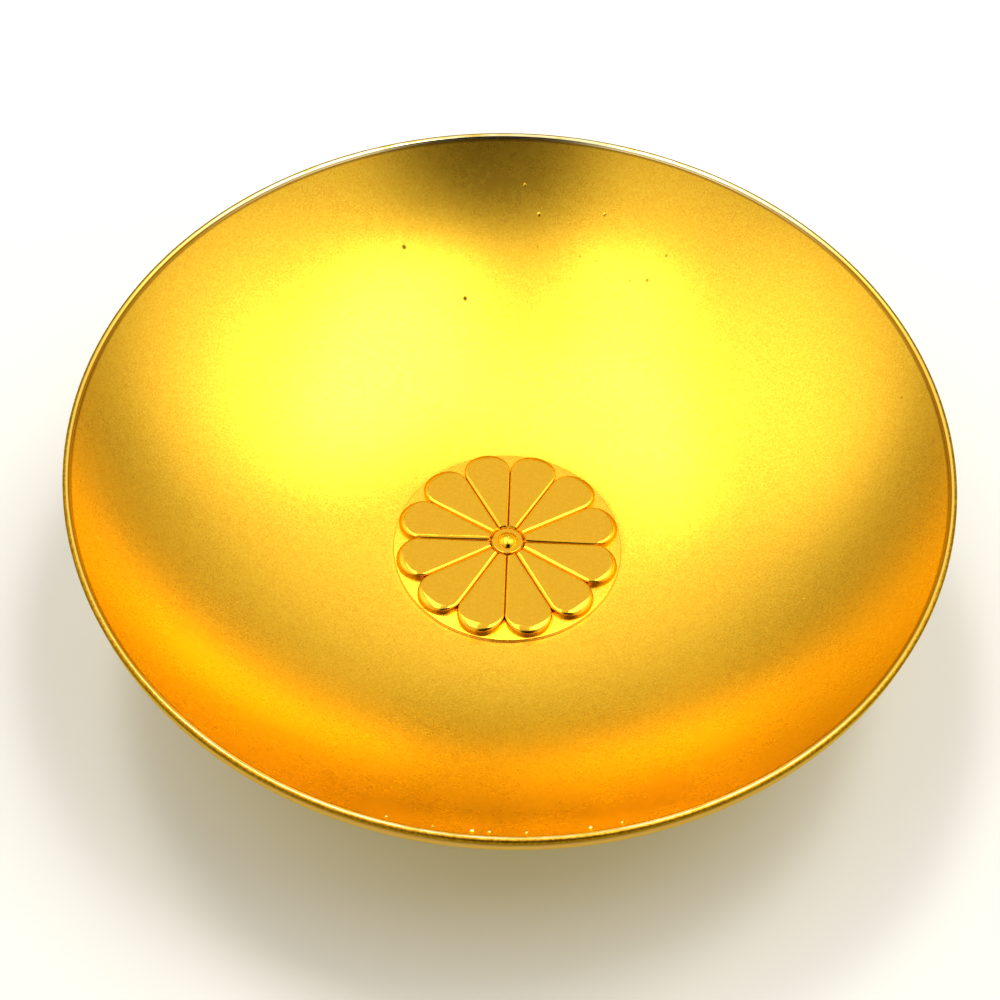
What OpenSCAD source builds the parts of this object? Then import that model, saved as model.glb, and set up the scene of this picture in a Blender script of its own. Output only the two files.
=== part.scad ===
// Sakazuki sake cup in gilt metal: a shallow bowl on a ring foot, with a flower rosette on its floor.
// Millimetres, +Z up. The origin is in the middle of the foot's base, on the table.

/* [Bowl] */
// Diameter of the cup over its lip
lip_d = 90; // [86:0.5:96]
// Height of the lip above the table
cup_h = 28; // [25:0.5:34]
// Depth of the inside, from the lip to the flat seat
bowl_depth = 17; // [16:0.5:19]
// Thickness of the sheet
sheet_t = 0.7; // [0.5:0.05:1]
// Slope of the wall where it meets the lip, in degrees
lip_slope = 50; // [46:1:52]
// Thickness of the rounded bead along the lip
lip_bead_d = 0.75; // [0.75:0.05:1.1]
// Width of the flat floor that shows round the flower's disc
seat_border = 0.3; // [0.2:0.05:0.6]

/* [Rim wire] */
// Width of the half round wire, along the wall
wire_w = 1.6; // [1.2:0.1:2]
// Thickness of the half round wire
wire_t = 0.7; // [0.35:0.05:0.75]
// Distance from the middle of the lip down to the middle of the wire, along the wall
wire_drop = 1.4; // [1.4:0.1:2]

/* [Rosette] */
// Number of petals
petals = 12; // [8:1:14]
// Diameter over the petal tips
rosette_d = 24; // [20:0.1:26]
// Height of the petals above the disc
petal_h = 0.95; // [0.8:0.05:1.4]
// Depth of the grooves between the petals
groove_h = 0.35; // [0.2:0.05:0.5]
// Width of the rounding along a petal's sides
side_round = 0.3; // [0.2:0.05:0.5]
// Width of the rounding at a petal's tip
tip_round = 1.1; // [0.7:0.1:1.4]
// Thickness of the disc under the petals
disc_t = 0.18; // [0.15:0.01:0.4]
// How far the disc shows past the petal tips
disc_border = 0.1; // [0.1:0.05:0.5]

/* [Stud] */
// Diameter of the stud's dome
dome_d = 2.2; // [1.6:0.1:2.6]
// Height of the stud's dome
dome_h = 0.6; // [0.4:0.05:0.8]
// Diameter of the stud's collar
collar_d = 3.2; // [2.8:0.1:3.6]
// Diameter of the stud's pin
pin_d = 1.2; // [0.8:0.1:1.4]

/* [Foot] */
// Diameter of the foot over its bead
foot_d = 36; // [34:0.5:40]
// Thickness of the foot's wall
foot_t = 1.1; // [0.8:0.05:1.3]
// Thickness of the bead along the foot's edge
foot_bead_d = 1.6; // [1.4:0.05:2]
// Radius of the flare, seen from the side
flare_r = 22; // [18:1:30]

/* [Joints] */
// Solder between two surfaces that are joined
solder_gap = 0.08; // [0.05:0.01:0.12]
// Thickness of the solder bed under the flower's disc
bed_t = 0.18; // [0.12:0.02:0.3]
// Width of the solder fillets along the rim wire
rim_fillet = 0.15; // [0.1:0.01:0.2]
// Width of the solder fillets along the foot
foot_fillet = 0.6; // [0.4:0.05:0.9]
// Gap round the stud's pin and collar
stud_fit = 0.05; // [0.03:0.01:0.1]

/* [Hidden] */
$fn = 180;
// Steps round the large circles of the bowl and the foot, and round thin wires and beads
large_fn = 720;
small_fn = 48;

// Colours
satin_gold = [0.93, 0.70, 0.16];
polished_gold = [0.98, 0.79, 0.28];
solder_gold = [0.87, 0.69, 0.27];

// Profile of the bowl in the XY plane, x outwards and y up: a flat seat, then one arc up to the lip.
// Slopes are in degrees from level, and a slope also gives the direction from the arc's centre.
function down(slope) = [sin(slope), -cos(slope)];
rosette_r = rosette_d / 2;
disc_r = rosette_r + disc_border;
seat_r = disc_r + seat_border;
floor_z = cup_h - bowl_depth;
lip_centre = [lip_d / 2 - lip_bead_d / 2, cup_h - lip_bead_d / 2];
lip_inside = lip_centre - down(lip_slope) * sheet_t / 2;
seat_edge = [seat_r, floor_z];
chord = lip_inside - seat_edge;
chord_slope = atan2(chord.y, chord.x);
seat_slope = 2 * chord_slope - lip_slope;
wall_in_r = norm(chord) / (2 * sin((lip_slope - seat_slope) / 2));
wall_out_r = wall_in_r + sheet_t;
wall_centre = lip_inside - down(lip_slope) * wall_in_r;
seat_under = seat_edge + down(seat_slope) * sheet_t;
// Height of the underside at a distance from the axis, outside the seat
function under_z(r) = wall_centre.y - sqrt(pow(wall_out_r, 2) - pow(r - wall_centre.x, 2));

// Rim wire: a slice off a circle whose flat side lies along the wall
wire_r = (pow(wire_w / 2, 2) + pow(wire_t, 2)) / (2 * wire_t);
wire_back_r = wall_out_r + solder_gap;
wire_slope = lip_slope - wire_drop / wall_out_r * 180 / PI;
wire_centre = wall_centre + down(wire_slope) * (wire_back_r + wire_t - wire_r);

// Rosette: each petal ends in a circle that touches the grooves on both its sides
disc_z = floor_z + bed_t;
petal_z = disc_z + disc_t;
petal_a = 180 / petals;
tip_centre_r = rosette_r / (1 + sin(petal_a));
tip_r = rosette_r - tip_centre_r;
groove_z = petal_h - groove_h;
tip_edge_z = petal_h / 8;
pin_hole_r = pin_d / 2 + stud_fit;
well_r = collar_d / 2 + stud_fit;
// Thickness of the stud's collar, and how far it lies below the petals' tops
collar_t = 0.3;
collar_sink = 0.1;
// Height of the floor of the stud's well, and width of the slope round it
well_z = petal_h - collar_sink - collar_t;
well_slope_w = 0.3;
// Panels across a petal, and along it from the well to the outline
petal_steps = 8;
petal_rows = 9;

// Stud
dome_r = (pow(dome_d / 2, 2) + pow(dome_h, 2)) / (2 * dome_h);

// Foot: a curved band with its waist under the bowl, and a bead along its edge that is cut flat at the table
foot_bead_r = foot_bead_d / 2;
foot_bead_z = 0.75 * foot_bead_r;
foot_bead_centre = [foot_d / 2 - foot_bead_r, foot_bead_z];
waist_z = 0.75 * floor_z;
flare_mid_r = flare_r + foot_t / 2;
flare_centre = [foot_bead_centre.x + sqrt(pow(flare_mid_r, 2) - pow(waist_z - foot_bead_z, 2)), waist_z];
foot_top_z = under_z(flare_centre.x - flare_mid_r);
foot_outer_r = flare_centre.x - flare_r;
foot_inner_r = foot_outer_r - foot_t;
// How far trimmed shapes run past what trims them
overrun = 0.5;

// Everything inside the bowl's outer wall, with the wall made thicker by a margin
module inside_wall(margin) {
    translate(wall_centre)
        circle(r = wall_out_r + margin, $fn = large_fn);
}

// Section of a dish with a flat floor, filled up to well above the lip.
// The wall's circle rises again near the axis, so a square fills the middle.
module dish_section(wall_r, base_z) {
    intersection() {
        union() {
            translate(wall_centre)
                circle(r = wall_r, $fn = large_fn);
            square([seat_r - overrun, cup_h]);
        }
        translate([0, base_z])
            square([lip_d, cup_h]);
    }
}

// Everything from the axis out to the slope at which the wall ends
module below_lip() {
    reach = 2 * wall_out_r;
    translate(wall_centre)
        polygon([[0, 0], down(-lip_slope) * reach, down(lip_slope) * reach]);
}

module bowl_section() {
    intersection() {
        difference() {
            dish_section(wall_out_r, seat_under.y);
            dish_section(wall_in_r, floor_z);
        }
        below_lip();
    }
    translate(lip_centre)
        circle(d = lip_bead_d, $fn = small_fn);
}

module bowl() {
    color(satin_gold)
        rotate_extrude()
            bowl_section();
}

module wire_section() {
    difference() {
        translate(wire_centre)
            circle(r = wire_r, $fn = small_fn);
        inside_wall(solder_gap);
    }
}

module rim_wire() {
    color(satin_gold)
        rotate_extrude()
            wire_section();
}

// Solder behind the wire, with a narrow fillet along each of its edges
module rim_solder() {
    color(solder_gold)
        rotate_extrude()
            difference() {
                intersection() {
                    translate(wire_centre)
                        circle(r = wire_r + rim_fillet, $fn = small_fn);
                    inside_wall(solder_gap + rim_fillet);
                }
                inside_wall(0);
                wire_section();
            }
}

module rosette_solder() {
    color(solder_gold)
        translate([0, 0, floor_z])
            cylinder(r = disc_r, h = bed_t);
}

module rosette_disc() {
    color(satin_gold)
        translate([0, 0, disc_z])
            cylinder(r = disc_r, h = disc_t);
}

// Distance from the axis to the petal's outline, at an angle from the petal's middle
function petal_reach(a) =
    tip_centre_r * cos(a) + sqrt(max(0, pow(tip_r, 2) - pow(tip_centre_r * sin(a), 2)));

// Rise of a quarter round, at a share of its width in from the edge
function quarter_round(share) = sqrt(1 - pow(1 - min(1, max(0, share)), 2));

// Height of a petal's top, at a distance from the axis and an angle from the petal's middle
function petal_top(r, a) =
    let (
        from_tip = [r * cos(a) - tip_centre_r, r * sin(a)],
        turn = abs(atan2(from_tip.y, from_tip.x)),
        inset = turn < 90 + petal_a ? tip_r - norm(from_tip) : r * sin(petal_a - abs(a)),
        tip_share = pow(max(0, cos(turn)), 2),
        edge_z = groove_z + (tip_edge_z - groove_z) * tip_share,
        round_w = side_round + (tip_round - side_round) * tip_share,
        top_z = edge_z + (petal_h - edge_z) * quarter_round(inset / round_w)
    )
    r < well_r + well_slope_w / 2 ? min(well_z, top_z) : top_z;

// Distances from the axis of the points along one line from the pin hole to the outline
function petal_line(a) =
    let (start = well_r + well_slope_w)
    [
        pin_hole_r,
        well_r,
        for (i = [0 : petal_rows])
            start + (petal_reach(a) - start) * sin(90 * i / petal_rows)
    ];

// The struck flower: a closed skin over lines of points that run out from the pin hole
module rosette() {
    columns = petals * petal_steps;
    line_n = petal_rows + 3;
    function petal_angle(i) = petal_a * sin(180 * (i % petal_steps) / petal_steps - 90);
    function column_angle(i) = 2 * petal_a * floor(i / petal_steps) + petal_angle(i);
    function at(i, r, z) = [r * sin(column_angle(i)), r * cos(column_angle(i)), z];
    top = [
        for (i = [0 : columns - 1])
            let (a = petal_angle(i))
                for (r = petal_line(a))
                    at(i, r, petal_top(r, a))
    ];
    base = [
        for (i = [0 : columns - 1])
            for (r = [pin_hole_r, petal_reach(petal_angle(i))])
                at(i, r, 0)
    ];
    function top_point(i, j) = (i % columns) * line_n + j;
    function base_point(i, j) = columns * line_n + (i % columns) * 2 + j;
    function panel(a, b, c, d) = [[a, c, b], [a, d, c]];
    last = line_n - 1;
    faces = [
        for (i = [0 : columns - 1])
            let (k = i + 1)
                each [
                    for (j = [0 : last - 1])
                        each panel(top_point(i, j), top_point(k, j),
                                   top_point(k, j + 1), top_point(i, j + 1)),
                    each panel(base_point(i, 1), base_point(k, 1), base_point(k, 0), base_point(i, 0)),
                    each panel(top_point(i, last), top_point(k, last), base_point(k, 1), base_point(i, 1)),
                    each panel(base_point(i, 0), base_point(k, 0), top_point(k, 0), top_point(i, 0))
                ]
    ];
    color(polished_gold)
        translate([0, 0, petal_z])
            rotate([0, 0, petal_a])
                polyhedron(concat(top, base), faces);
}

// Domed stud: its collar sits in the flower's well and its pin in the hole
module rosette_stud() {
    color(polished_gold)
        translate([0, 0, petal_z + well_z])
            rotate_extrude() {
                translate([0, -well_z])
                    square([pin_d / 2, well_z + collar_t]);
                square([collar_d / 2, collar_t]);
                intersection() {
                    translate([0, collar_t + dome_h - dome_r])
                        circle(r = dome_r, $fn = small_fn);
                    square([dome_r, collar_t + dome_h]);
                }
            }
}

// Curved band of the foot, not yet trimmed under the bowl
module foot_band() {
    intersection() {
        translate(flare_centre)
            difference() {
                circle(r = flare_r + foot_t, $fn = large_fn);
                circle(r = flare_r, $fn = large_fn);
            }
        translate([0, foot_bead_z])
            square([flare_centre.x, foot_top_z - foot_bead_z + overrun]);
    }
}

module foot_section() {
    difference() {
        foot_band();
        inside_wall(solder_gap);
    }
    intersection() {
        translate(foot_bead_centre)
            circle(r = foot_bead_r, $fn = small_fn);
        square([foot_d, foot_bead_d]);
    }
}

module foot_ring() {
    color(satin_gold)
        rotate_extrude()
            foot_section();
}

// Solder on top of the foot, with a fillet along its inner and outer edge
module foot_solder() {
    mid_r = (foot_inner_r + foot_outer_r) / 2;
    outer_end = foot_outer_r + foot_fillet;
    inner_end = foot_inner_r - foot_fillet;
    color(solder_gold)
        rotate_extrude()
            difference() {
                union() {
                    foot_band();
                    polygon([[inner_end, under_z(inner_end)],
                             [foot_inner_r, under_z(foot_inner_r) - foot_fillet],
                             [mid_r, foot_top_z - foot_fillet],
                             [foot_outer_r, under_z(foot_outer_r) - foot_fillet],
                             [outer_end, under_z(outer_end)],
                             [mid_r, foot_top_z + overrun]]);
                }
                inside_wall(0);
                foot_section();
            }
}

bowl();
rim_wire();
rim_solder();
rosette_disc();
rosette();
rosette_stud();
rosette_solder();
foot_ring();
foot_solder();
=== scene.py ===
"""Looks of a gilt metal sakazuki.

It is a shallow bowl with a wired rim, a struck flower on its floor and a ring foot. Every piece is turned
or struck again, finer than the solid that it stands for, and gets its own finish.
"""
import math
import random

import bmesh
import bpy
from mathutils import Matrix, Vector


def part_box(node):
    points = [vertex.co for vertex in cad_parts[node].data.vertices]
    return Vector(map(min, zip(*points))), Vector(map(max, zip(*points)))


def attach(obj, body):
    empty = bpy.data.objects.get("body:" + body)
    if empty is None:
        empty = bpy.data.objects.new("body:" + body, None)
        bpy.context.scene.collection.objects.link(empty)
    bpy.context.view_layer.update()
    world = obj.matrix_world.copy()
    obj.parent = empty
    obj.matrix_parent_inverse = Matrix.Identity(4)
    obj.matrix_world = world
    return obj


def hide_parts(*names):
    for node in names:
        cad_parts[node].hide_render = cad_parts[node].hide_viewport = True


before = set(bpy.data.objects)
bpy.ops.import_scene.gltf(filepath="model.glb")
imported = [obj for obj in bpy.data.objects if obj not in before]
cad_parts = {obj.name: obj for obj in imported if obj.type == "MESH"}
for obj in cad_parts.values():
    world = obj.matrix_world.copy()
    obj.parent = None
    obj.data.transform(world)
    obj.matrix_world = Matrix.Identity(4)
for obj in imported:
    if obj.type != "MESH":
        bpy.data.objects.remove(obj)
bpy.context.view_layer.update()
MM = 0.001

# Bowl, read off the frame where it shows there
LIP_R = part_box("bowl")[1].x
LIP_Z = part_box("bowl")[1].z
FLOOR_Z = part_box("rosette_solder")[0].z
SHEET = 0.7 * MM
LIP_SLOPE = math.radians(50)
LIP_BEAD_R = 0.375 * MM
SEAT_BORDER = 0.3 * MM

# Rim wire and its solder
WIRE_W = 1.6 * MM
WIRE_T = 0.7 * MM
WIRE_DROP = 1.4 * MM
RIM_FILLET = 0.15 * MM
SOLDER_GAP = 0.08 * MM
# Where the solder's fillet ends on the wire, as a share of the wire's half turn from its middle
RIM_FILLET_END = 0.86

# Flower: solder bed, disc, petals and stud
DISC_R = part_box("rosette_disc")[1].x
DISC_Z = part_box("rosette_disc")[0].z
PETAL_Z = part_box("rosette")[0].z
PETAL_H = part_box("rosette")[1].z - PETAL_Z
STUD_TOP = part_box("rosette_stud")[1].z
BED_HOLLOW = 0.15 * MM
DISC_ROUND = 0.1 * MM
DISC_BORDER = 0.1 * MM
PETALS = 12
GROOVE_H = 0.35 * MM
SIDE_ROUND = 0.3 * MM
TIP_ROUND = 1.1 * MM
TIP_EDGE = PETAL_H / 8
COLLAR_R = 1.6 * MM
COLLAR_T = 0.3 * MM
COLLAR_SINK = 0.1 * MM
DOME_R = 1.1 * MM
PIN_R = 0.6 * MM
STUD_FIT = 0.05 * MM
COLLAR_ROUND = 0.08 * MM
WELL_SLOPE_W = 0.3 * MM
# How far the struck petals fall away to their sides, how far they lean at most, and the seed of their leans
PETAL_CROWN = 0.08 * MM
PETAL_LEAN = 0.12 * MM
LEAN_SEED = 7

# Foot
FOOT_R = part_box("foot_ring")[1].x
FOOT_T = 1.1 * MM
FOOT_BEAD_R = 0.8 * MM
FLARE_R = 22 * MM
FOOT_FILLET = 0.6 * MM
# Height of its bead's middle as a share of the bead's radius, and of its waist as a share of the floor's
FOOT_BEAD_UP = 0.75
WAIST_UP = 0.75

# How far the lip is out of true: oval in plan, low in places, and the angles where that starts
LIP_OVAL = 0.05 * MM
LIP_DIP = 0.08 * MM
OVAL_START = 0.7
DIP_START = 2.1

# Steps round the axis, along curves from long to tiny, and over the belt of the wall that has the beads
ROUND_STEPS = 360
LONG_STEPS = 72
SHORT_STEPS = 18
EDGE_STEPS = 8
SMALL_STEPS = 6
FILLET_STEPS = 5
NECK_STEPS = 4
POLISH_STEPS = 3
TINY_STEPS = 2
BELT_STEPS = 16
PETAL_STEPS = 28
PETAL_ROWS = 44
EVEN_TURNS = [2 * math.pi * k / ROUND_STEPS for k in range(ROUND_STEPS)]

# A crease sharper than this stays sharp
CREASE = math.radians(24)

# Table: its half width, and how far from the axis its glow is full and where that ends
TABLE_HALF = 2.0
GLOW_FULL = 30 * MM
GLOW_END = 60 * MM

# Height of the lights above the table, and the strength of the room's light
CEILING = 0.9
ROOM_LIGHT = 1.415

# Camera: distance and aim in lip radii from the middle of the lip, sensor and lens in mm
CAMERA_FAR = 5.61
CAMERA_TILT = math.radians(52.0)
CAMERA_ROLL = math.radians(1.956)
CAMERA_AIM = Vector((-0.02, -0.1414, 0))
SENSOR_WIDTH = 36
LENS = 90

# Colours
GOLD = (0.62, 0.335, 0.019, 1)
DEEP_GOLD = (0.617, 0.313, 0.0165, 1)
PALE_GOLD = (0.70, 0.424, 0.029, 1)
# Pale gold of the lip in front and behind, a painted highlight
LIT_LIP_GOLD = (0.86, 0.69, 0.34, 1)
CREST_GOLD = (0.68, 0.45, 0.07, 1)
# Paler gold on the front of the wall inside the lip, a painted highlight
FRONT_LIGHT_GOLD = (0.94, 0.55, 0.02, 1)
# Brown inside the lip's crest at its sides, painted shade
LIP_SHADE_GOLD = (0.38, 0.19, 0.012, 1)
FLOWER_GOLD = (0.58, 0.298, 0.0155, 1)
DULL_GOLD = (0.57, 0.34, 0.085, 1)
# Dark gold of the strip under the lip, painted shade
PAINTED_SHADE_GOLD = (0.22, 0.095, 0.004, 1)
OUTSIDE_GOLD = (0.66, 0.38, 0.03, 1)
GRAZING_GOLD = (1.0, 1.0, 0.08, 1)
SOLDER_GOLD = (0.63, 0.38, 0.06, 1)
# Tarnish and painted shade of the dark line under the lip's polish
TARNISH_AND_SHADE = (0.15, 0.057, 0.007, 1)
PIT = (0.033, 0.015, 0.0025, 1)
PAPER = (0.396, 0.385, 0.349, 1)
SHADOW_GLOW = (0.135, 0.107, 0.004, 1)
NO_GLOW = (0, 0, 0, 1)

# How far the specks of dull gilding turn to pale gold
SPECK_PALE = 0.25

# Painted highlight: the wall inside the lip's front made paler where it shows lit, in mm: full and none
# along y, none and full along x
WALL_LIGHT_Y = (-42.4, -38.0)
WALL_LIGHT_X = (-16.0, -6.0)
# Painted light on the lip, pale in front and behind, shaded at the sides: none and full of the pale along y
LIP_LIGHT_Y = (26.0, 40.0)

# Dark line in the satin, tarnish and painted shade, and bright crest of the lip, mm from the polish edge:
# start and full
LIP_SHADE_LINE = (-0.24, -0.1)
LIP_CREST = (0.1, 0.25)

# Core and edge of a spot as shares of its width, and how dark a pit is for each mm of its width
SPOT_CORE = 0.2
SPOT_EDGE = 0.6
PIT_SHADE = 1.6
# Pits and raised nibs in the satin, seen from above: x, y and width in mm
PITS = (
    (-12.8, 34.0, 0.55),
    (-5.8, 30.0, 0.6),
    (2.1, 35.4, 0.25),
    (6.9, 34.4, 0.3),
    (8.7, 33.9, 0.25),
    (12.5, 31.7, 0.35),
    (12.2, 30.3, 0.25),
    (14.4, 31.5, 0.45),
    (16.4, 33.5, 0.35),
    (-18.2, 26.4, 0.35),
    (14.7, 23.5, 0.3),
    (5.0, 24.0, 0.25),
    (40.5, 11.0, 0.25),
    (-13.6, -17.3, 0.25),
    (-23.4, -28.5, 0.3),
)
NIBS = (
    (0.4, 40.7, 0.32),
    (2.1, 38.3, 0.36),
    (9.4, 38.0, 0.3),
    (30.4, -9.4, 0.25),
)
# Beads of plating inside the near lip: degrees round from the front, and half width
BEADS = (
    (-13.5, 0.2 * MM),
    (-7.7, 0.15 * MM),
    (-2.9, 0.3 * MM),
    (-0.8, 0.22 * MM),
    (3.7, 0.22 * MM),
    (11.5, 0.28 * MM),
    (15.4, 0.2 * MM),
)
# How far they lie from the axis, how high they stand as a share of their half width, and the belt of fine
# rows that holds them, as a share of the widest
BEAD_R = 43.2 * MM
BEAD_SHARE = 0.75
BELT_SHARE = 1.2
BEAD_MAX_W = max(half_width for degrees, half_width in BEADS)

# The front of the cup, as a turn round the axis. Fine turns there, in degrees: their step, how many lie to
# each side of a bead, and how near an even turn may come
FRONT = 1.5 * math.pi
FINE_STEP = 0.08
FINE_COUNT = 6
FINE_CLEAR = 0.3


class Value:
    """One output of a node. Arithmetic on it adds Math nodes, so a mask is written as a formula."""

    def __init__(self, shader, socket):
        self.shader = shader
        self.socket = socket

    def __add__(self, other):
        return self.shader.maths("ADD", self, other)

    def __sub__(self, other):
        return self.shader.maths("SUBTRACT", self, other)

    def __rsub__(self, other):
        return self.shader.maths("SUBTRACT", other, self)

    def __mul__(self, other):
        return self.shader.maths("MULTIPLY", self, other)

    def __pow__(self, other):
        return self.shader.maths("POWER", self, other)

    __radd__ = __add__
    __rmul__ = __mul__


class Shader:
    """A node tree that is being filled."""

    def __init__(self, tree):
        self.tree = tree
        tree.nodes.clear()

    def node(self, kind, settings, sockets, output=0):
        """Adds a node: its settings first, then values or links for its sockets. Returns one output."""
        made = self.tree.nodes.new("ShaderNode" + kind)
        for name, value in settings.items():
            setattr(made, name, value)
        for key, value in sockets.items():
            if isinstance(value, Value):
                self.tree.links.new(value.socket, made.inputs[key])
            else:
                made.inputs[key].default_value = value
        return Value(self, made.outputs[output]) if made.outputs else None

    def maths(self, operation, *terms):
        return self.node("Math", {"operation": operation}, dict(enumerate(terms)))

    def vector(self, operation, *terms, output=0):
        return self.node("VectorMath", {"operation": operation}, dict(enumerate(terms)), output)

    def blend(self, share, colour, other):
        """One colour turning into another as share goes from 0 to 1."""
        return self.node("Mix", {"data_type": "RGBA"}, {0: share, 6: colour, 7: other}, 2)

    def step(self, value, start, end):
        """Rises smoothly from 0 to 1 while value goes from start to end."""
        sockets = {"Value": value, "From Min": start, "From Max": end}
        return self.node("MapRange", {"interpolation_type": "SMOOTHSTEP"}, sockets)

    def noise(self, place, scale, detail=2.0):
        return self.node("TexNoise", {}, {"Vector": place, "Scale": scale, "Detail": detail})


class Finish(Shader):
    """A gilt finish on the cup. Places are in millimetres in the shared frame."""

    def __init__(self, name):
        self.material = bpy.data.materials.new(name)
        self.material.use_nodes = True
        super().__init__(self.material.node_tree)
        metres = self.node("TexCoord", {}, {}, "Object")
        self.place = self.node("VectorMath", {"operation": "SCALE"}, {0: metres, "Scale": 1 / MM})
        self.x = self.node("SeparateXYZ", {}, {0: self.place}, "X")
        self.y = self.node("SeparateXYZ", {}, {0: self.place}, "Y")
        self.z = self.node("SeparateXYZ", {}, {0: self.place}, "Z")
        self.radius = (self.x * self.x + self.y * self.y) ** 0.5

    def stretched(self, along):
        """Place squeezed along one direction, so that noise on it draws lines across the others."""
        return self.vector("MULTIPLY", self.place, along)

    def spot(self, x, y, width):
        """A round spot on the inside of the bowl, seen from above."""
        far = ((self.x - x) ** 2 + (self.y - y) ** 2) ** 0.5
        return 1 - self.step(far, SPOT_CORE * width, SPOT_EDGE * width)

    def hairlines(self, *directions):
        """Fine handling scratches: thin crests of stretched noise, broken up by a coarser one."""
        broken = self.step(self.noise(self.place, 0.25), 0.5, 0.62)
        crests = [self.noise(self.stretched(along), 1.0, 1.0) for along in directions]
        return sum(self.step(crest, 0.66, 0.72) for crest in crests) * broken

    def gild(self, colour, roughness, height, depth):
        """Ends the finish: metal of this colour and roughness, its relief a bump of a depth in mm."""
        relief = self.node("Bump", {}, {"Strength": 1.0, "Distance": depth * MM, "Height": height})
        sockets = {"Base Color": colour, "Metallic": 1.0, "Roughness": roughness, "Normal": relief}
        sockets["Specular Tint"] = GRAZING_GOLD
        metal = self.node("BsdfPrincipled", {}, sockets)
        self.node("OutputMaterial", {}, {"Surface": metal})
        return self.material


def satin_gilding():
    """Matt gilding: grain, cloudy patches, pits, nibs, a painted highlight at the front and a dark line of
    tarnish and painted shade under the lip.
    """
    finish = Finish("satin_gilding")
    grain = finish.noise(finish.place, 5.0, 2.0)
    mottle = finish.noise(finish.place, 1.1, 3.0)
    cloud = finish.noise(finish.place, 0.09, 2.0)
    pits = sum(PIT_SHADE * width * finish.spot(x, y, width) for x, y, width in PITS)
    nibs = sum(finish.spot(x, y, width) for x, y, width in NIBS)
    # The dark line under the lip is tarnish and painted shade
    lip_shade_line = finish.step(finish.radius, POLISH_EDGE + LIP_SHADE_LINE[0], POLISH_EDGE + LIP_SHADE_LINE[1])
    # The front of the wall inside the lip is painted paler, as highlight
    painted_light = (1 - finish.step(finish.y, *WALL_LIGHT_Y)) * finish.step(finish.x, *WALL_LIGHT_X)
    colour = finish.blend(finish.step(grain + 0.15 * mottle, 0.35, 0.8), DEEP_GOLD, PALE_GOLD)
    colour = finish.blend(painted_light, colour, FRONT_LIGHT_GOLD)
    colour = finish.blend(0.65 * lip_shade_line, colour, TARNISH_AND_SHADE)
    colour = finish.blend(pits, colour, PIT)
    roughness = 0.235 + 0.03 * mottle + 0.05 * cloud - 0.1 * nibs
    height = grain + 0.3 * mottle - 10.0 * pits + 36.0 * nibs
    return finish.gild(colour, roughness, height, 0.0006)


def polished_gilding():
    """Bright gilding of the flower: almost a mirror, with fine rubbing marks."""
    finish = Finish("polished_gilding")
    waviness = finish.noise(finish.place, 0.5, 2.0)
    rub = finish.noise(finish.place, 3.0, 3.0)
    scratches = finish.hairlines((0.3, 7.0, 1.0), (6.0, 0.4, 1.0))
    colour = finish.blend(finish.step(rub, 0.3, 0.8), FLOWER_GOLD, GOLD)
    roughness = 0.05 + 0.06 * rub + 0.05 * scratches
    height = waviness + 0.1 * rub
    return finish.gild(colour, roughness, height, 0.006)


def lip_gilding():
    """The polished lip: painted pale in front and behind as highlight, and painted dark as shade inside its
    crest at the sides.
    """
    finish = Finish("lip_gilding")
    rub = finish.noise(finish.place, 2.0, 3.0)
    worn = finish.step(finish.noise(finish.place, 0.35, 3.0), 0.3, 0.6)
    # Painted light: pale as highlight in front and behind, dark as shade at the sides, in patches on the
    # crest
    painted_light = finish.step(finish.maths("ABSOLUTE", finish.y), *LIP_LIGHT_Y)
    crest = finish.step(finish.radius, POLISH_EDGE + LIP_CREST[0], POLISH_EDGE + LIP_CREST[1])
    inner = finish.blend(painted_light, LIP_SHADE_GOLD, LIT_LIP_GOLD)
    colour = finish.blend(crest, inner, finish.blend(painted_light * worn, CREST_GOLD, LIT_LIP_GOLD))
    roughness = 0.06 + 0.06 * rub
    return finish.gild(colour, roughness, finish.noise(finish.place, 0.8, 2.0), 0.006)


def dull_gilding(name, gold, roughness):
    """Gilding where no burnisher reaches, under the lip and on the wire: dull and speckled. Under the lip
    its dark gold is painted shade.
    """
    finish = Finish(name)
    speckle = finish.noise(finish.place, 3.5, 2.0)
    paler = [(1 - SPECK_PALE) * part + SPECK_PALE * pale for part, pale in zip(gold, PALE_GOLD)]
    colour = finish.blend(finish.step(speckle, 0.35, 0.7), gold, paler)
    return finish.gild(colour, roughness + 0.1 * speckle, speckle, 0.012)


def turned_gilding():
    """Satin of the outside and the foot, with faint lines from the lathe."""
    finish = Finish("turned_gilding")
    lines = finish.noise(finish.radius + finish.z, 5.0, 3.0)
    grain = finish.noise(finish.place, 4.5, 2.0)
    mottle = finish.noise(finish.place, 0.6, 3.0)
    colour = finish.blend(finish.step(mottle, 0.35, 0.7), GOLD, OUTSIDE_GOLD)
    roughness = 0.26 + 0.06 * mottle + 0.05 * lines
    return finish.gild(colour, roughness, lines + 0.5 * grain, 0.004)


def gilt_solder():
    """Solder under the gilding: duller, lumpy and a little pale."""
    finish = Finish("gilt_solder")
    lumps = finish.noise(finish.place, 1.6, 3.0)
    colour = finish.blend(lumps, SOLDER_GOLD, GOLD)
    return finish.gild(colour, 0.3 + 0.12 * lumps, lumps, 0.03)


def down(slope):
    """Direction from an arc's centre to the point of it that has this slope, as radius and height."""
    return Vector((math.sin(slope), -math.cos(slope)))


def arc(centre, radius, start, end, steps):
    """Points on an arc between two slopes, both ends included."""
    return [centre + down(start + (end - start) * i / steps) * radius for i in range(steps + 1)]


def bend(start, corner, end, steps):
    """Points on a curve that leaves start and reaches end along the sides of a corner."""
    shares = [i / steps for i in range(steps + 1)]
    return [start * (1 - t) ** 2 + corner * (2 * t * (1 - t)) + end * t ** 2 for t in shares]


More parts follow.
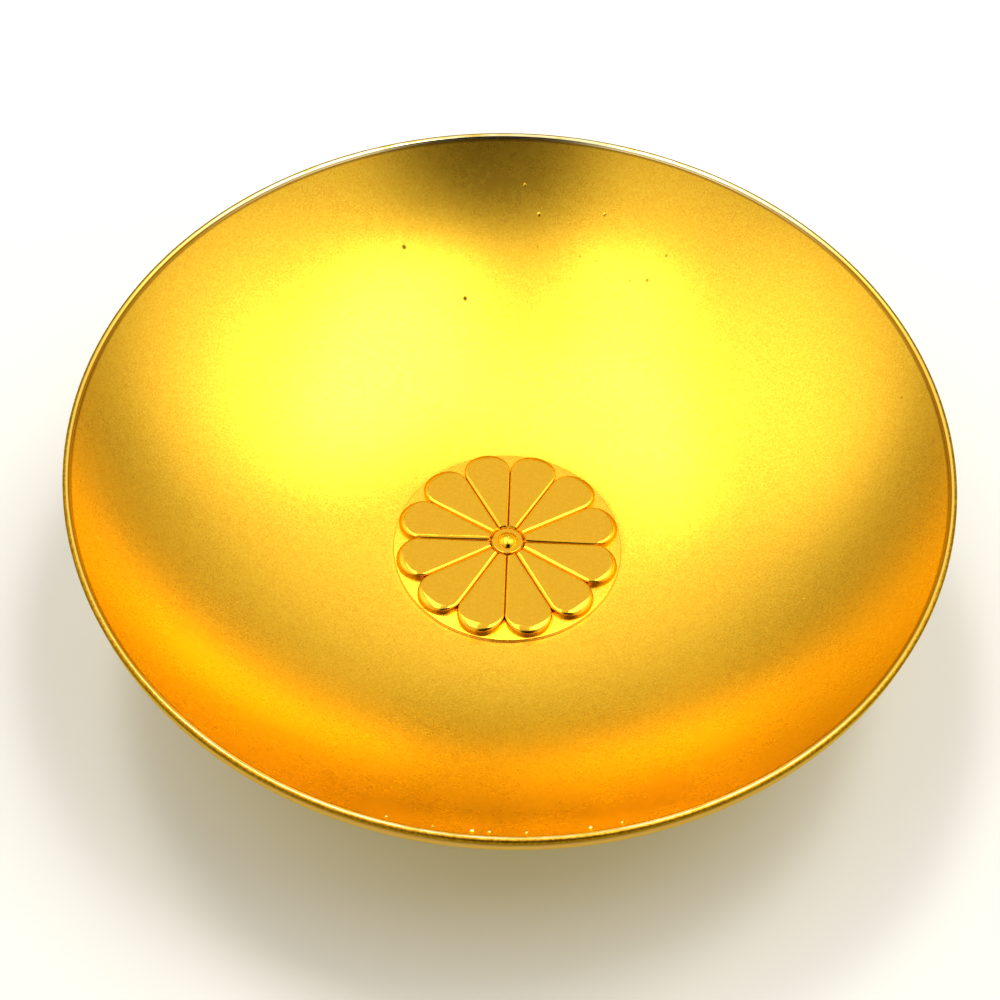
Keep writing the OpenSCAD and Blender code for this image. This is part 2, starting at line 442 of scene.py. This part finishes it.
def by_hand(point, turn):
    """Where a true point (radius, height) lies at a turn, as a lip raised by hand is never quite true."""
    share = (point.y / LIP_Z) ** 2
    radius = point.x - LIP_OVAL * share * (0.5 + 0.5 * math.sin(2 * turn + OVAL_START)) * point.x / LIP_R
    height = point.y - LIP_DIP * share * (0.5 + 0.5 * math.sin(3 * turn + DIP_START))
    return Vector((radius * math.cos(turn), radius * math.sin(turn), height))


def closed_mesh(name, points, faces):
    """A smooth closed piece on the cup, with its creases kept sharp."""
    mesh = bpy.data.meshes.new(name)
    mesh.from_pydata(points, [], faces)
    sheet = bmesh.new()
    sheet.from_mesh(mesh)
    bmesh.ops.recalc_face_normals(sheet, faces=sheet.faces)
    sheet.to_mesh(mesh)
    sheet.free()
    mesh.shade_smooth()
    mesh.set_sharp_from_angle(angle=CREASE)
    piece = bpy.data.objects.new(name + "_gilt", mesh)
    bpy.context.scene.collection.objects.link(piece)
    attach(piece, "root")
    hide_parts(name)
    return piece


def turned(name, stretches, ring=True, turns=EVEN_TURNS):
    """A turned piece. Its section is a list of stretches: a finish, then points (radius, height)."""
    section = [point for finish, stretch in stretches for point in stretch]
    finishes = [finish for finish, stretch in stretches for point in stretch]
    points, rows = [], []
    for point in section:
        around = turns if point.x > 0 else turns[:1]
        rows.append([len(points) + k for k in range(len(around))])
        points += [by_hand(point, turn) for turn in around]
    faces, used = [], []
    last = len(rows) if ring else len(rows) - 1
    for i in range(last):
        row, after = rows[i], rows[(i + 1) % len(rows)]
        for k in range(len(turns)):
            corners = [row[k % len(row)], row[(k + 1) % len(row)]]
            corners += [after[(k + 1) % len(after)], after[k % len(after)]]
            faces.append(list(dict.fromkeys(corners)))
            used.append(finishes[i])
    piece = closed_mesh(name, points, faces)
    kinds = list(dict.fromkeys(used))
    for finish in kinds:
        piece.data.materials.append(finish)
    for face, finish in zip(piece.data.polygons, used):
        face.material_index = kinds.index(finish)
    return piece


# Section of the bowl: a flat seat, then one arc up to the lip
SEAT_EDGE = Vector((DISC_R + SEAT_BORDER, FLOOR_Z))
LIP_CENTRE = Vector((LIP_R - LIP_BEAD_R, LIP_Z - LIP_BEAD_R))
LIP_INSIDE = LIP_CENTRE - down(LIP_SLOPE) * SHEET / 2
CHORD = LIP_INSIDE - SEAT_EDGE
SEAT_SLOPE = 2 * math.atan2(CHORD.y, CHORD.x) - LIP_SLOPE
WALL_IN_R = CHORD.length / (2 * math.sin((LIP_SLOPE - SEAT_SLOPE) / 2))
WALL_OUT_R = WALL_IN_R + SHEET
WALL_CENTRE = LIP_INSIDE - down(LIP_SLOPE) * WALL_IN_R
SEAT_UNDER = SEAT_EDGE + down(SEAT_SLOPE) * SHEET

# Where the beads of plating lie on the wall's inside
BEAD_SLOPE = math.asin((BEAD_R - WALL_CENTRE.x) / WALL_IN_R)
BELT_SPAN = BELT_SHARE * BEAD_MAX_W / WALL_IN_R

# Polish of the lip: a narrow strip of the wall's inside, whose edge is given in mm from the axis, and the
# round edge over it as far as a tilt outside
BEAD_TURN = math.acos(SHEET / 2 / LIP_BEAD_R)
WALL_END = LIP_SLOPE - LIP_BEAD_R * math.sin(BEAD_TURN) / WALL_IN_R
POLISH_WIDTH = 0.08 * MM
POLISH_START = WALL_END - POLISH_WIDTH / WALL_IN_R
POLISH_EDGE = (WALL_CENTRE.x + WALL_IN_R * math.sin(POLISH_START)) / MM
POLISH_OUT = math.radians(4)


def wall_point(slope, above_outside):
    """A point off the bowl's outer wall."""
    return WALL_CENTRE + down(slope) * (WALL_OUT_R + above_outside)


def wall_slope_at(radius):
    """Slope of the outer wall at a distance from the axis."""
    return math.asin((radius - WALL_CENTRE.x) / WALL_OUT_R)


# The half round wire lies on the outer wall, just below the lip
WIRE_SLOPE = LIP_SLOPE - WIRE_DROP / WALL_OUT_R
WIRE_ROUND = (WIRE_W ** 2 / 4 + WIRE_T ** 2) / (2 * WIRE_T)
WIRE_CENTRE = wall_point(WIRE_SLOPE, SOLDER_GAP + WIRE_T - WIRE_ROUND)
WIRE_TURN = math.asin(WIRE_W / 2 / WIRE_ROUND)
WIRE_SPAN = WIRE_W / 2 / WALL_OUT_R


def turns_round_bowl():
    """Even steps, with fine ones round the front where the beads of plating are."""
    offsets = [FINE_STEP * k for k in range(-FINE_COUNT, FINE_COUNT + 1)]
    fine = [FRONT + math.radians(degrees + offset) for degrees, half_width in BEADS for offset in offsets]
    clear = math.radians(FINE_CLEAR)
    even = [turn for turn in EVEN_TURNS if min(abs(turn - other) for other in fine) > clear]
    return sorted(even + fine)


def raise_beads(bowl, inside_count, polish_index):
    """Domes on the inside of the near wall, pushed up from its finer mesh and given the lip's polish, whose
    pale gold there is painted highlight.
    """
    foot = WALL_CENTRE + down(BEAD_SLOPE) * WALL_IN_R
    up = -down(BEAD_SLOPE)
    raised = set()
    for degrees, half_width in BEADS:
        turn = FRONT + math.radians(degrees)
        middle = by_hand(foot, turn)
        out = Vector((up.x * math.cos(turn), up.x * math.sin(turn), up.y))
        for vertex in bowl.data.vertices[:inside_count]:
            share = (vertex.co - middle).length / half_width
            if share < 1:
                vertex.co += out * half_width * BEAD_SHARE * math.sqrt(1 - share ** 2)
                raised.add(vertex.index)
    for face in bowl.data.polygons:
        if raised.issuperset(face.vertices):
            face.material_index = polish_index


def make_bowl(satin, lip, shaded, outside):
    """The bowl: satin inside up to the lip, a polished crest, and a shaded strip down to the wire."""
    seat_turn = Vector((DISC_R, FLOOR_Z))
    wall_start = SEAT_SLOPE + SEAT_BORDER / WALL_IN_R
    on_wall = WALL_CENTRE + down(wall_start) * WALL_IN_R
    inside = [Vector((0, FLOOR_Z)), Vector((DISC_R / 2, FLOOR_Z))]
    inside += bend(seat_turn, SEAT_EDGE, on_wall, SMALL_STEPS)
    belt_low, belt_high = BEAD_SLOPE - BELT_SPAN, BEAD_SLOPE + BELT_SPAN
    inside += arc(WALL_CENTRE, WALL_IN_R, wall_start, belt_low, LONG_STEPS)[1:-1]
    inside += arc(WALL_CENTRE, WALL_IN_R, belt_low, belt_high, BELT_STEPS)
    inside += arc(WALL_CENTRE, WALL_IN_R, belt_high, POLISH_START, SMALL_STEPS)[1:-1]
    crest = arc(WALL_CENTRE, WALL_IN_R, POLISH_START, WALL_END, POLISH_STEPS)[:-1]
    edge_in, edge_out = LIP_SLOPE + math.pi + BEAD_TURN, math.pi - POLISH_OUT
    crest += arc(LIP_CENTRE, LIP_BEAD_R, edge_in, edge_out, SHORT_STEPS)[:-1]
    below = arc(LIP_CENTRE, LIP_BEAD_R, edge_out, LIP_SLOPE - BEAD_TURN, EDGE_STEPS)
    wire_top = WIRE_SLOPE + WIRE_SPAN
    below += arc(WALL_CENTRE, WALL_OUT_R, WALL_END, wire_top, TINY_STEPS)[1:-1]
    under = arc(WALL_CENTRE, WALL_OUT_R, wire_top, SEAT_SLOPE, LONG_STEPS)
    under += [Vector((DISC_R / 2, SEAT_UNDER.y)), Vector((0, SEAT_UNDER.y))]
    stretches = [(satin, inside), (lip, crest), (shaded, below), (outside, under)]
    turns = turns_round_bowl()
    bowl = turned("bowl", stretches, ring=False, turns=turns)
    raise_beads(bowl, 1 + (len(inside) - 1) * len(turns), bowl.data.materials.find(lip.name))
    return bowl


def wire_back():
    """Points down the back of the wire, between its edges."""
    shares = [1 - 2 * i / SMALL_STEPS for i in range(1, SMALL_STEPS)]
    return [wall_point(WIRE_SLOPE + WIRE_SPAN * share, SOLDER_GAP) for share in shares]


def make_rim_wire(dull):
    """The half round wire, its flat back to the wall."""
    face = arc(WIRE_CENTRE, WIRE_ROUND, WIRE_SLOPE - WIRE_TURN, WIRE_SLOPE + WIRE_TURN, SHORT_STEPS)
    return turned("rim_wire", [(dull, face + wire_back())])


def make_rim_solder(solder):
    """A film behind the wire that swells into a small fillet along both its edges."""
    reach = RIM_FILLET / WALL_OUT_R
    upper, lower = WIRE_SLOPE + WIRE_SPAN, WIRE_SLOPE - WIRE_SPAN
    climb = WIRE_TURN * RIM_FILLET_END
    up_wire = arc(WIRE_CENTRE, WIRE_ROUND, WIRE_SLOPE + climb, WIRE_SLOPE + WIRE_TURN, TINY_STEPS)
    low_wire = arc(WIRE_CENTRE, WIRE_ROUND, WIRE_SLOPE - WIRE_TURN, WIRE_SLOPE - climb, TINY_STEPS)
    section = bend(wall_point(upper + reach, 0), wall_point(upper, 0), up_wire[0], FILLET_STEPS)
    section += up_wire[1:] + wire_back() + low_wire
    section += bend(low_wire[-1], wall_point(lower, 0), wall_point(lower - reach, 0), FILLET_STEPS)[1:]
    section += [wall_point(lower + 2 * WIRE_SPAN * i / SMALL_STEPS, 0) for i in range(SMALL_STEPS + 1)]
    return turned("rim_solder", [(solder, section)])


def make_rosette_solder(solder):
    """The bed under the disc, drawn in a little along its edge as set solder is."""
    middle = Vector((DISC_R - BED_HOLLOW, (FLOOR_Z + DISC_Z) / 2))
    edge = bend(Vector((DISC_R, FLOOR_Z)), middle, Vector((DISC_R, DISC_Z)), SMALL_STEPS)
    section = [Vector((0, FLOOR_Z)), *edge, Vector((0, DISC_Z))]
    return turned("rosette_solder", [(solder, section)], ring=False)


def make_rosette_disc(satin):
    """The flat disc that carries the petals, its upper edge rounded over."""
    centre = Vector((DISC_R - DISC_ROUND, PETAL_Z - DISC_ROUND))
    edge = [Vector((DISC_R, DISC_Z))]
    edge += arc(centre, DISC_ROUND, math.pi / 2, math.pi, SMALL_STEPS)
    section = [Vector((0, DISC_Z)), *edge, Vector((DISC_R / 2, PETAL_Z)), Vector((0, PETAL_Z))]
    return turned("rosette_disc", [(satin, section)], ring=False)


# Petals: each ends in a circle that touches the grooves on both its sides
ROSETTE_R = DISC_R - DISC_BORDER
PETAL_A = math.pi / PETALS
TIP_CENTRE_R = ROSETTE_R / (1 + math.sin(PETAL_A))
TIP_R = ROSETTE_R - TIP_CENTRE_R
GROOVE_Z = PETAL_H - GROOVE_H
WELL_R = COLLAR_R + STUD_FIT
WELL_Z = PETAL_H - COLLAR_SINK - COLLAR_T


def petal_reach(a):
    """Distance from the axis to the petal's outline, at an angle from the petal's middle."""
    half_chord = max(0.0, TIP_R ** 2 - (TIP_CENTRE_R * math.sin(a)) ** 2)
    return TIP_CENTRE_R * math.cos(a) + math.sqrt(half_chord)


def quarter_round(share):
    """Rises from 0 to 1 as a quarter circle does, and stays there."""
    return math.sqrt(1 - (1 - min(1.0, max(0.0, share))) ** 2)


def petal_top(r, a, lean):
    """Height of a petal's top above the disc, at a distance from the axis and an angle from its middle."""
    along, across = r * math.cos(a) - TIP_CENTRE_R, r * math.sin(a)
    turn = abs(math.atan2(across, along))
    to_groove = r * math.sin(PETAL_A - abs(a))
    inset = TIP_R - math.hypot(along, across) if turn < math.pi / 2 + PETAL_A else to_groove
    tip_share = max(0.0, math.cos(turn)) ** 2
    edge = GROOVE_Z + (TIP_EDGE - GROOVE_Z) * tip_share
    round_w = SIDE_ROUND + (TIP_ROUND - SIDE_ROUND) * tip_share
    fall = PETAL_CROWN * (a / PETAL_A) ** 2 + PETAL_LEAN * lean * r / ROSETTE_R
    top = edge + (PETAL_H - fall - edge) * quarter_round(inset / round_w)
    return min(WELL_Z, top) if r < WELL_R + WELL_SLOPE_W / 2 else top


def make_rosette(polished):
    """The struck flower: a closed skin over lines of points that run out from the pin hole."""
    leans = random.Random(LEAN_SEED)
    hole = PIN_R + STUD_FIT
    start = WELL_R + WELL_SLOPE_W
    spread = [math.sin(math.pi / 2 * i / PETAL_ROWS) for i in range(PETAL_ROWS + 1)]
    points, lines = [], []
    for petal in range(PETALS):
        lean = leans.random()
        for step in range(PETAL_STEPS):
            a = -PETAL_A * math.cos(math.pi * step / PETAL_STEPS)
            reach = petal_reach(a)
            rows = [start + (reach - start) * share for share in spread]
            profile = [Vector((r, PETAL_Z + petal_top(r, a, lean))) for r in (hole, WELL_R, *rows)]
            profile += [Vector((reach, PETAL_Z)), Vector((hole, PETAL_Z))]
            lines.append([len(points) + i for i in range(len(profile))])
            turn = PETAL_A * (2 * petal + 1) + a
            points += [by_hand(point, turn) for point in profile]
    faces = []
    for i, line in enumerate(lines):
        beside = lines[(i + 1) % len(lines)]
        for j in range(len(line)):
            k = (j + 1) % len(line)
            faces.append((line[j], beside[j], beside[k], line[k]))
    piece = closed_mesh("rosette", points, faces)
    piece.data.materials.append(polished)
    return piece


def make_rosette_stud(polished):
    """The domed stud: its collar sits in the flower's well and its pin in the hole."""
    base = PETAL_Z + WELL_Z
    shoulder = base + COLLAR_T
    rise = STUD_TOP - shoulder
    dome_round = (DOME_R ** 2 + rise ** 2) / (2 * rise)
    dome_turn = math.asin(DOME_R / dome_round)
    dome_centre = Vector((0, STUD_TOP - dome_round))
    edge_centre = Vector((COLLAR_R - COLLAR_ROUND, shoulder - COLLAR_ROUND))
    section = [Vector((0, PETAL_Z)), Vector((PIN_R, PETAL_Z))]
    section += [Vector((PIN_R, base)), Vector((COLLAR_R, base))]
    section += arc(edge_centre, COLLAR_ROUND, math.pi / 2, math.pi, SMALL_STEPS)
    section += arc(dome_centre, dome_round, math.pi - dome_turn, math.pi, SHORT_STEPS)[:-1]
    section += [Vector((0, STUD_TOP))]
    return turned("rosette_stud", [(polished, section)], ring=False)


# Foot: a curved band with its waist under the bowl, and a bead along its edge that is flat at the table
FOOT_BEAD = Vector((FOOT_R - FOOT_BEAD_R, FOOT_BEAD_UP * FOOT_BEAD_R))
WAIST_Z = WAIST_UP * FLOOR_Z
FLARE_MID_R = FLARE_R + FOOT_T / 2
FLARE_REACH = math.sqrt(FLARE_MID_R ** 2 - (WAIST_Z - FOOT_BEAD.y) ** 2)
FLARE_CENTRE = Vector((FOOT_BEAD.x + FLARE_REACH, WAIST_Z))
WAIST_OUT_R = FLARE_CENTRE.x - FLARE_R
WAIST_IN_R = WAIST_OUT_R - FOOT_T


def foot_face(radius, start_z, end_z, steps):
    """Points up or down one face of the curved band, between two heights."""
    heights = [start_z + (end_z - start_z) * i / steps for i in range(steps + 1)]
    return [Vector((FLARE_CENTRE.x - math.sqrt(radius ** 2 - (z - WAIST_Z) ** 2), z)) for z in heights]


def underside(radius):
    """The point of the bowl's underside at a distance from the axis."""
    return Vector((radius, wall_point(wall_slope_at(radius), 0).y))


def make_foot_ring(outside):
    """The flared band, closed by its bead below and cut level with the bowl above."""
    facing = math.pi / 2 + math.atan2(WAIST_Z - FOOT_BEAD.y, FLARE_CENTRE.x - FOOT_BEAD.x)
    bead_turn = math.acos(FOOT_T / 2 / FOOT_BEAD_R)
    bead_start, bead_end = facing + math.pi - bead_turn, facing + 2 * math.pi + bead_turn
    bead = arc(FOOT_BEAD, FOOT_BEAD_R, bead_start, bead_end, 2 * SHORT_STEPS)
    bead = [Vector((point.x, max(0.0, point.y))) for point in bead]
    outer_top = underside(WAIST_OUT_R).y - SOLDER_GAP
    inner_top = underside(WAIST_IN_R).y - SOLDER_GAP
    outer = foot_face(FLARE_R, bead[-1].y, outer_top, SHORT_STEPS)[1:]
    inner = foot_face(FLARE_R + FOOT_T, inner_top, bead[0].y, SHORT_STEPS)[:-1]
    return turned("foot_ring", [(outside, bead + outer + inner)])


def make_foot_solder(solder):
    """Solder between the foot and the bowl, drawn into a hollow fillet inside and outside."""
    outer, inner = underside(WAIST_OUT_R), underside(WAIST_IN_R)
    outer_end, inner_end = WAIST_OUT_R + FOOT_FILLET, WAIST_IN_R - FOOT_FILLET
    outer_neck = foot_face(FLARE_R, outer.y - FOOT_FILLET, outer.y - SOLDER_GAP, NECK_STEPS)
    inner_neck = foot_face(FLARE_R + FOOT_T, inner.y - SOLDER_GAP, inner.y - FOOT_FILLET, NECK_STEPS)
    section = bend(underside(outer_end), outer, outer_neck[0], SMALL_STEPS)
    section += outer_neck[1:] + inner_neck
    section += bend(inner_neck[-1], inner, underside(inner_end), SMALL_STEPS)[1:]
    span = outer_end - inner_end
    section += [underside(inner_end + span * i / SMALL_STEPS) for i in range(1, SMALL_STEPS)]
    return turned("foot_solder", [(solder, section)])


def make_cup():
    """Every piece of the cup, each in its own finish."""
    satin, lip, outside = satin_gilding(), lip_gilding(), turned_gilding()
    polished, solder = polished_gilding(), gilt_solder()
    # The dark strip under the lip is painted shade
    make_bowl(satin, lip, dull_gilding("painted_shade_gilding", PAINTED_SHADE_GOLD, 0.3), outside)
    make_rim_wire(dull_gilding("wire_gilding", DULL_GOLD, 0.42))
    make_rim_solder(solder)
    make_rosette_solder(solder)
    make_rosette_disc(satin)
    make_rosette(polished)
    make_rosette_stud(polished)
    make_foot_ring(outside)
    make_foot_solder(solder)


def make_table():
    """A plain pale table top, with a faint glow round the cup for the light that the gold throws down."""
    mesh = bpy.data.meshes.new("table")
    corners = [(-1, -1), (1, -1), (1, 1), (-1, 1)]
    mesh.from_pydata([(TABLE_HALF * x, TABLE_HALF * y, 0) for x, y in corners], [], [(0, 1, 2, 3)])
    paper = bpy.data.materials.new("paper")
    paper.use_nodes = True
    shader = Shader(paper.node_tree)
    from_axis = shader.vector("LENGTH", shader.node("TexCoord", {}, {}, "Object"), output=1)
    glow = shader.blend(shader.step(from_axis, GLOW_FULL, GLOW_END), SHADOW_GLOW, NO_GLOW)
    sockets = {"Base Color": PAPER, "Roughness": 0.9, "Specular IOR Level": 0.1}
    sockets.update({"Emission Color": glow, "Emission Strength": 1.0})
    matt = shader.node("BsdfPrincipled", {}, sockets)
    shader.node("OutputMaterial", {}, {"Surface": matt})
    mesh.materials.append(paper)
    table = bpy.data.objects.new("table", mesh)
    bpy.context.scene.collection.objects.link(table)


def ceiling_panel(name, middle, size, turn, radiance):
    """A soft panel overhead. Its middle and size are shares of the ceiling's height above the table."""
    light = bpy.data.lights.new(name, "AREA")
    light.shape = "RECTANGLE"
    light.size, light.size_y = CEILING * size[0], CEILING * size[1]
    light.energy = radiance * math.pi * light.size * light.size_y
    panel = bpy.data.objects.new(name, light)
    panel.location = (CEILING * middle[0], CEILING * middle[1], CEILING)
    panel.rotation_euler.z = math.radians(turn)
    panel.visible_camera = False
    bpy.context.scene.collection.objects.link(panel)


def studio_light():
    """A panel to each side overhead, in a pale room that is dark behind the camera."""
    ceiling_panel("right_panel", (0.39, 0.03), (0.46, 0.86), 0, 5.55)
    ceiling_panel("right_lamp", (0.23, 0.10), (0.17, 0.28), 0, 24.4)
    ceiling_panel("left_panel", (-0.31, 0.02), (0.34, 1.0), -12, 4.3)
    ceiling_panel("left_lamp", (-0.20, 0.28), (0.17, 0.28), -12, 31.6)
    world = bpy.data.worlds.new("studio")
    bpy.context.scene.world = world
    world.use_nodes = True
    light = Shader(world.node_tree)
    toward = light.node("TexCoord", {}, {}, "Generated")

    def patch(azimuth, elevation, core, edge):
        """1 within core degrees of a direction and 0 beyond edge degrees; azimuth 0 is behind the cup."""
        a, e = math.radians(azimuth), math.radians(elevation)
        direction = (math.sin(a) * math.cos(e), math.cos(a) * math.cos(e), math.sin(e))
        nearness = light.vector("DOT_PRODUCT", toward, direction, output="Value")
        return light.step(nearness, math.cos(math.radians(edge)), math.cos(math.radians(core)))

    walls = 0.36 + 0.64 * patch(0, 90, 45, 80)
    sides = 0.52 * patch(84, 36, 8, 34) + 0.66 * patch(278, 36, 8, 34)
    glow = 0.85 * patch(76, 54, 6, 24) + 0.2 * patch(295, 46, 8, 28)
    low_dark = 0.99 * patch(174, 24, 13, 30)
    high_dark = 0.97 * patch(171, 41, 11, 28)
    strength = ROOM_LIGHT * (walls + sides + glow) * (1 - light.maths("MAXIMUM", high_dark, low_dark))
    room = light.node("Background", {}, {"Color": (1, 1, 1, 1), "Strength": strength})
    backdrop = light.node("Background", {}, {"Color": (1, 1, 1, 1), "Strength": 1.0})
    seen = light.node("LightPath", {}, {}, "Is Camera Ray")
    shown = light.node("MixShader", {}, {0: seen, 1: room, 2: backdrop})
    light.node("OutputWorld", {}, {"Surface": shown})


def photo_camera():
    """A camera at the photograph's viewing angle."""
    place = Vector((0, -math.cos(CAMERA_TILT), math.sin(CAMERA_TILT))) * CAMERA_FAR
    look = (CAMERA_AIM - place).normalized()
    level = look.cross(Vector((0, 0, 1))).normalized()
    upright = level.cross(look)
    right = level * math.cos(CAMERA_ROLL) + upright * math.sin(CAMERA_ROLL)
    up = upright * math.cos(CAMERA_ROLL) - level * math.sin(CAMERA_ROLL)
    lens = bpy.data.cameras.new("photo_camera")
    lens.sensor_width = SENSOR_WIDTH
    lens.lens = LENS
    camera = bpy.data.objects.new("photo_camera", lens)
    bpy.context.scene.collection.objects.link(camera)
    turn = Matrix((right, up, -look)).transposed().to_4x4()
    middle = Vector((0, 0, LIP_Z - LIP_BEAD_R / 2))
    camera.matrix_world = Matrix.Translation(place * LIP_R + middle) @ turn
    bpy.context.scene.camera = camera


make_cup()
make_table()
studio_light()
photo_camera()
bpy.context.scene.view_settings.view_transform = "Standard"
